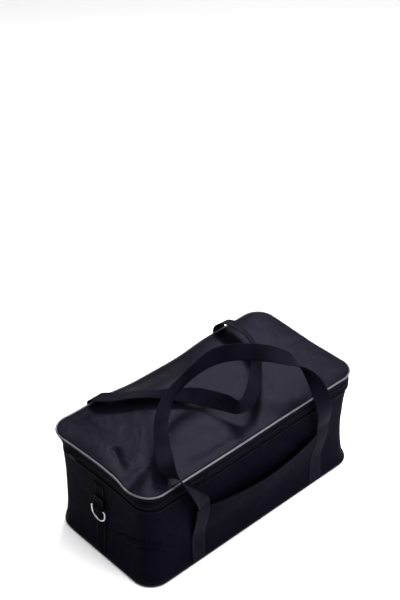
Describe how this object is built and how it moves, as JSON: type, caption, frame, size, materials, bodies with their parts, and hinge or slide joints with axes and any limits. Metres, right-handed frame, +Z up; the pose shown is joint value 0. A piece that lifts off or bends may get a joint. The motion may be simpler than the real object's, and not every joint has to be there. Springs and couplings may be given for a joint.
{
  "type": "cooler bag",
  "caption": "Black insulated cooler bag with grey piping, zipped lid, front pocket, two webbing handles and end rings.",
  "frame": {"origin": "middle of the flat base panel, on the floor", "axes": "+X along the bag's length to the right seen from the front, +Y from the front pocket to the rear, +Z up"},
  "size_m": [0.5118, 0.2968, 0.2954],
  "materials": {
    "fabric_black": "woven polyester, matt with a faint sheen",
    "webbing_black": "ribbed webbing, matt",
    "piping_grey": "satin",
    "foam_white": "closed cell foam, matt",
    "liner_silver": "foil faced film, half gloss",
    "board_grey": "matt",
    "zip_black": "nylon coil, satin",
    "slider_black": "painted, satin",
    "ring_steel": "polished nickel"
  },
  "bodies": {
    "bag": {"base_panel": "fabric_black", "base_piping": "piping_grey", "base_board": "board_grey", "foam_base": "foam_white", "front_wall": "fabric_black", "rear_wall": "fabric_black", "foam_wall": "foam_white", "liner_tub": "liner_silver", "rim_binding": "webbing_black", "zip_tape_lower": "webbing_black", "zip_coil_lower": "zip_black", "hinge_fabric_lower": "fabric_black", "front_pocket": "fabric_black", "pocket_hem": "webbing_black", "front_strap_left": "webbing_black", "front_strap_right": "webbing_black", "rear_strap_left": "webbing_black", "rear_strap_right": "webbing_black", "end_strip_left": "webbing_black", "end_strip_right": "webbing_black", "ring_tab_left": "webbing_black", "ring_tab_right": "webbing_black"},
    "lid": {"lid_top": "fabric_black", "lid_band": "fabric_black", "lid_piping": "piping_grey", "lid_foam": "foam_white", "lid_liner": "liner_silver", "zip_tape_upper": "webbing_black", "zip_coil_upper": "zip_black", "hinge_fabric_upper": "fabric_black", "rear_leg_left": "webbing_black", "rear_leg_right": "webbing_black"},
    "front_loop": {"front_handle": "webbing_black"},
    "rear_loop": {"rear_handle": "webbing_black"},
    "slider_left": {"zip_slider_left": "slider_black"},
    "slider_right": {"zip_slider_right": "slider_black"},
    "pull_left": {"zip_pull_left": "slider_black"},
    "pull_right": {"zip_pull_right": "slider_black"},
    "ring_l": {"ring_left": "ring_steel"},
    "ring_r": {"ring_right": "ring_steel"}
  },
  "joints": [
    {"name": "lid_hinge", "type": "hinge", "parent": "bag", "child": "lid", "pos_m": [0, 0.1313, 0.185], "axis": [-1, 0, 0], "range_deg": [0, 110], "deforming": ["front_handle"]},
    {"name": "front_handle_swing", "type": "hinge", "parent": "bag", "child": "front_loop", "pos_m": [0, -0.1399, 0.136], "axis": [1, 0, 0], "range_deg": [0, 140]},
    {"name": "rear_handle_swing", "type": "hinge", "parent": "lid", "child": "rear_loop", "pos_m": [0, 0.1313, 0.214], "axis": [-1, 0, 0], "range_deg": [0, 125], "deforming": ["front_handle"]},
    {"name": "zip_slider_left_slide", "type": "slide", "parent": "bag", "child": "slider_left", "axis": [0, -1, 0], "range_m": [0, 0.164]},
    {"name": "zip_slider_right_slide", "type": "slide", "parent": "bag", "child": "slider_right", "axis": [0, -1, 0], "range_m": [0, 0.164]},
    {"name": "zip_pull_left_turn", "type": "hinge", "parent": "slider_left", "child": "pull_left", "pos_m": [-0.2517, 0.08, 0.185], "axis": [0, 0, -1], "range_deg": [0, 170]},
    {"name": "zip_pull_right_turn", "type": "hinge", "parent": "slider_right", "child": "pull_right", "pos_m": [0.2517, 0.08, 0.185], "axis": [0, 0, 1], "range_deg": [0, 170]},
    {"name": "ring_left_swing", "type": "hinge", "parent": "bag", "child": "ring_l", "pos_m": [-0.2525, 0, 0.112], "axis": [0, 1, 0], "range_deg": [0, 160]},
    {"name": "ring_right_swing", "type": "hinge", "parent": "bag", "child": "ring_r", "pos_m": [0.2525, 0, 0.112], "axis": [0, -1, 0], "range_deg": [0, 160]}
  ]
}
